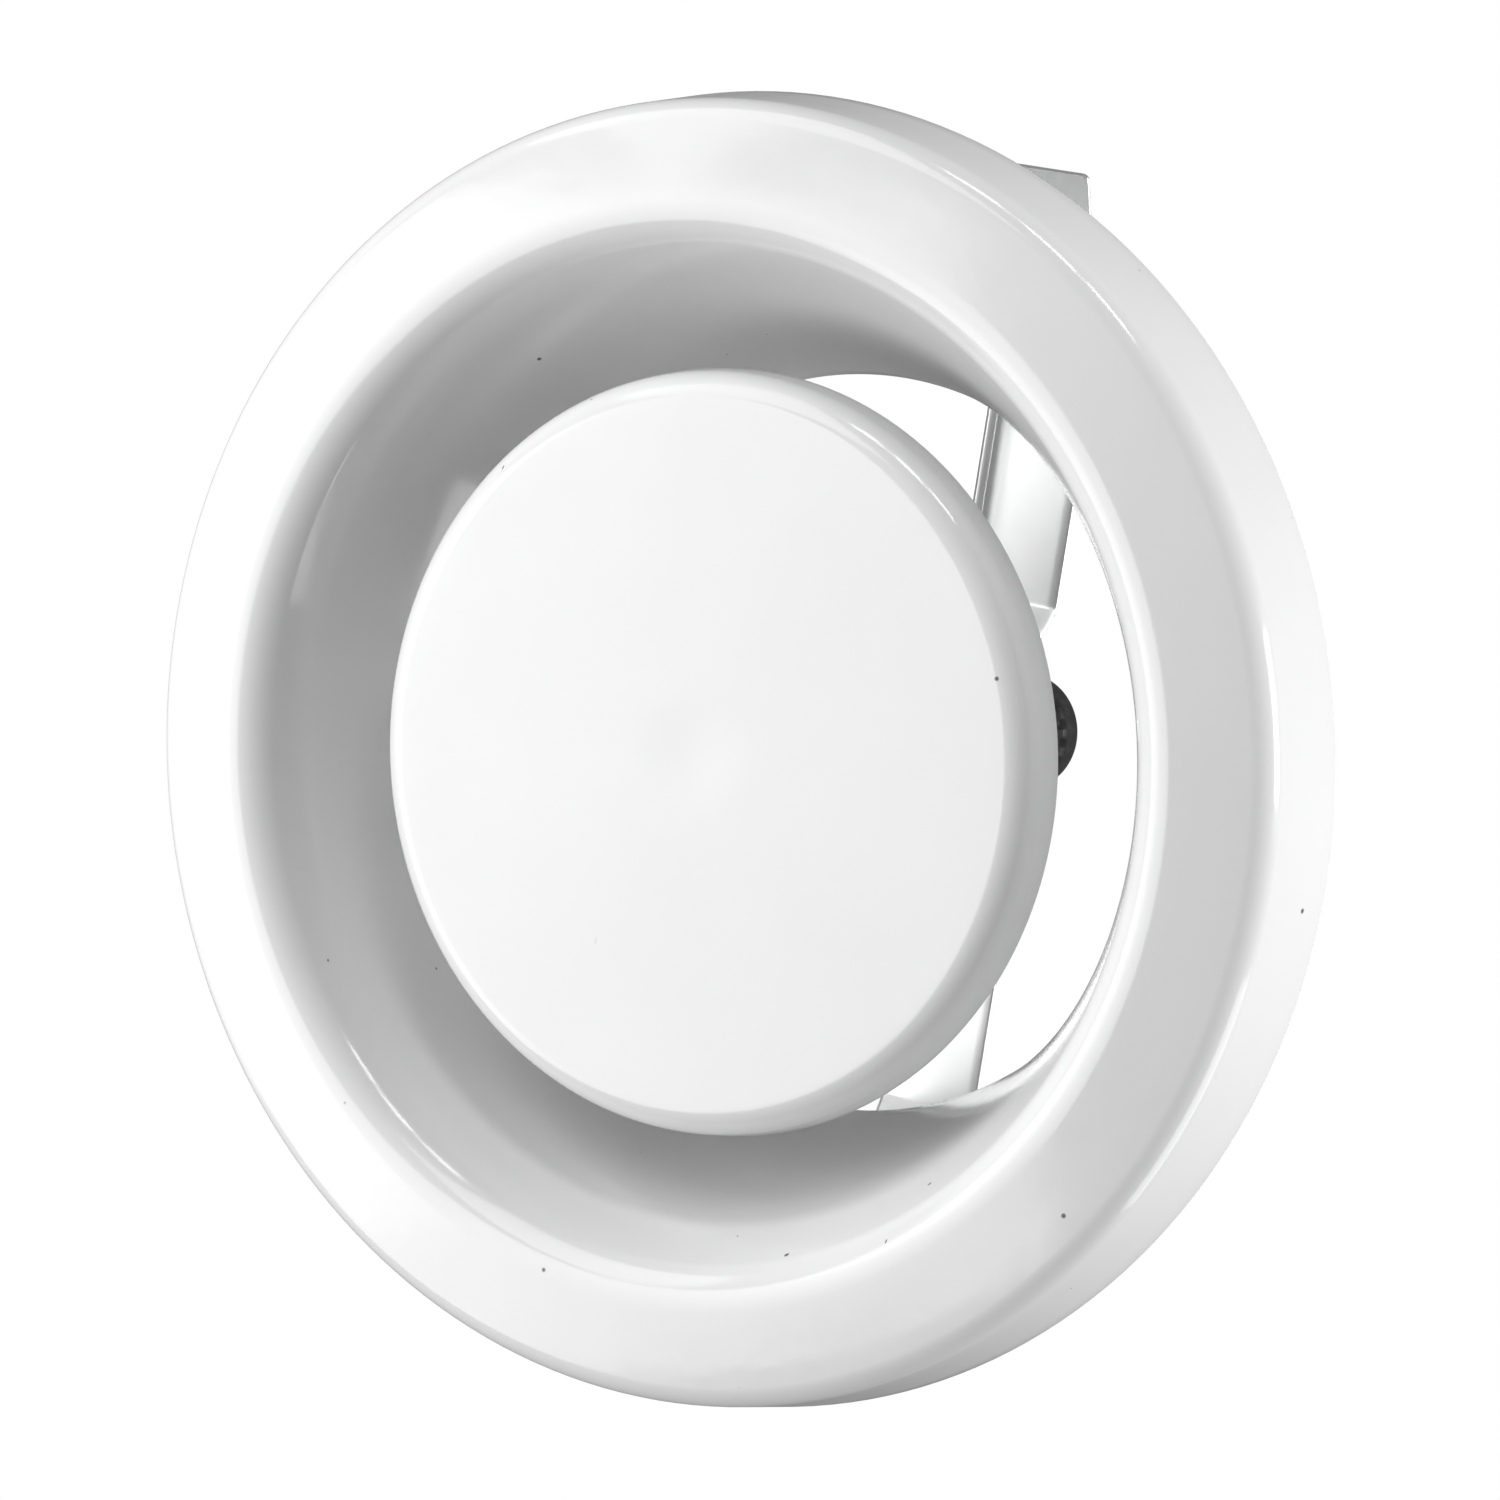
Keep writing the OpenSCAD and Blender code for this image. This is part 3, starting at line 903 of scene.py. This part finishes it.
# Soft boxes: name, degrees to the camera's left, degrees above it, distance, size and power
SOFT_BOXES = [
    ("key", 72, -5, 0.65, 0.6, 3.65),
    ("far_left", 97, 0, 0.6, 0.5, 0.9),
    ("upper_left", 60, 45, 0.6, 0.4, 1.3),
    ("right", -70, 3, 0.7, 0.25, 3.9),
    ("lower_right", -72, -45, 0.7, 0.4, 1.7),
    ("top_left", 12, 67, 0.7, 0.1, 0.3),
    ("top", -8, 60, 0.7, 0.1, 0.35),
    ("top_right", -22, 53, 0.7, 0.1, 0.35),
]


def add_camera():
    """Below the ceiling and to one side, with the top of the view along CAMERA_TOP in the ceiling plane."""
    across = polar(CAMERA_SIDE, math.sin(CAMERA_TILT))
    backward = Vector((across.x, across.y, -math.cos(CAMERA_TILT)))
    right = Vector((*polar(CAMERA_TOP), 0)).cross(backward).normalized()
    up = backward.cross(right)
    data = bpy.data.cameras.new("camera")
    data.sensor_width = 36
    data.lens = 108
    camera = bpy.data.objects.new("camera", data)
    camera.matrix_world = Matrix((right, up, backward)).transposed().to_4x4()
    camera.location = CAMERA_AIM + backward * CAMERA_DISTANCE
    bpy.context.scene.collection.objects.link(camera)
    bpy.context.scene.camera = camera
    return right, up, backward


def add_soft_box(name, direction, distance, size, power):
    """A square soft box that looks at the diffuser from the given direction."""
    data = bpy.data.lights.new(name, "AREA")
    data.shape = "SQUARE"
    data.size = size
    data.energy = power
    light = bpy.data.objects.new(name, data)
    light.location = direction * distance
    light.rotation_mode = "QUATERNION"
    light.rotation_quaternion = (-direction).to_track_quat("-Z", "Y")
    bpy.context.scene.collection.objects.link(light)


def add_world():
    """A white backdrop all round, which gives only a little light of its own."""
    world = bpy.data.worlds.new("studio")
    bpy.context.scene.world = world
    world.use_nodes = True
    tree = world.node_tree
    seen = tree.nodes.new("ShaderNodeLightPath").outputs["Is Camera Ray"]
    strength = node(tree, "Math", {0: seen, 1: WORLD_LIGHT}, operation="MAXIMUM").outputs[0]
    tree.links.new(strength, tree.nodes["Background"].inputs["Strength"])
    tree.nodes["Background"].inputs["Color"].default_value = (1, 1, 1, 1)


def add_floor():
    """A plain pale floor well below the face."""
    bm = bmesh.new()
    bmesh.ops.create_grid(bm, x_segments=1, y_segments=1, size=FLOOR_HALF)
    bmesh.ops.translate(bm, verts=bm.verts, vec=(0, 0, FLOOR_Z))
    floor = finished(bm, "floor")
    material, tree, shader, place = new_material("floor", 0.0, Roughness=0.8)
    mottle = noise_at(tree, place, 6)
    feed(tree, shader, "Base Color", blend_colours(tree, mottle, (0.72, 0.72, 0.71), (0.78, 0.78, 0.77)))
    floor.data.materials.append(material)


def add_studio():
    right, up, backward = add_camera()
    add_world()
    for name, side, height, distance, size, power in SOFT_BOXES:
        side = math.radians(side)
        height = math.radians(height)
        level = backward * math.cos(side) - right * math.sin(side)
        add_soft_box(name, level * math.cos(height) + up * math.sin(height), distance, size, power)
    add_floor()
    view = bpy.context.scene.view_settings
    view.view_transform = "Standard"
    view.look = "None"


# ---- the whole diffuser ----

BUILDERS = {
    "front_ring": front_ring,
    "ceiling_gasket": ceiling_gasket,
    "stay_a": stay,
    "stay_b": other_stay,
    "clamp_bar": clamp_bar,
    "bar_rivets": bar_rivets,
    "threaded_bush": threaded_bush,
    "valve_disc": valve_disc,
    "hub_plate": hub_plate,
    "spindle": spindle,
    "hub_washer": hub_washer,
    "hub_nut": hub_nut,
    "stop_washer": stop_washer,
    "stop_clip": stop_clip,
    "knob_washer": knob_washer,
    "lock_knob": lock_knob,
    "knob_insert": knob_insert,
}
FINISHES = {
    "white_coat": white_coat(),
    "zinc": zinc(),
    "spring_steel": spring_steel(),
    "black_plastic": black_plastic(),
    "brass": brass(),
    "foam": foam(),
}

add_studio()
for cad_node, build in BUILDERS.items():
    finished_piece = build(cad_node + "_finished")
    finished_piece.data.materials.clear()
    finished_piece.data.materials.append(FINISHES[SLOT_OF[cad_node]])
    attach(finished_piece, BODY_OF[cad_node])
    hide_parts(cad_node)
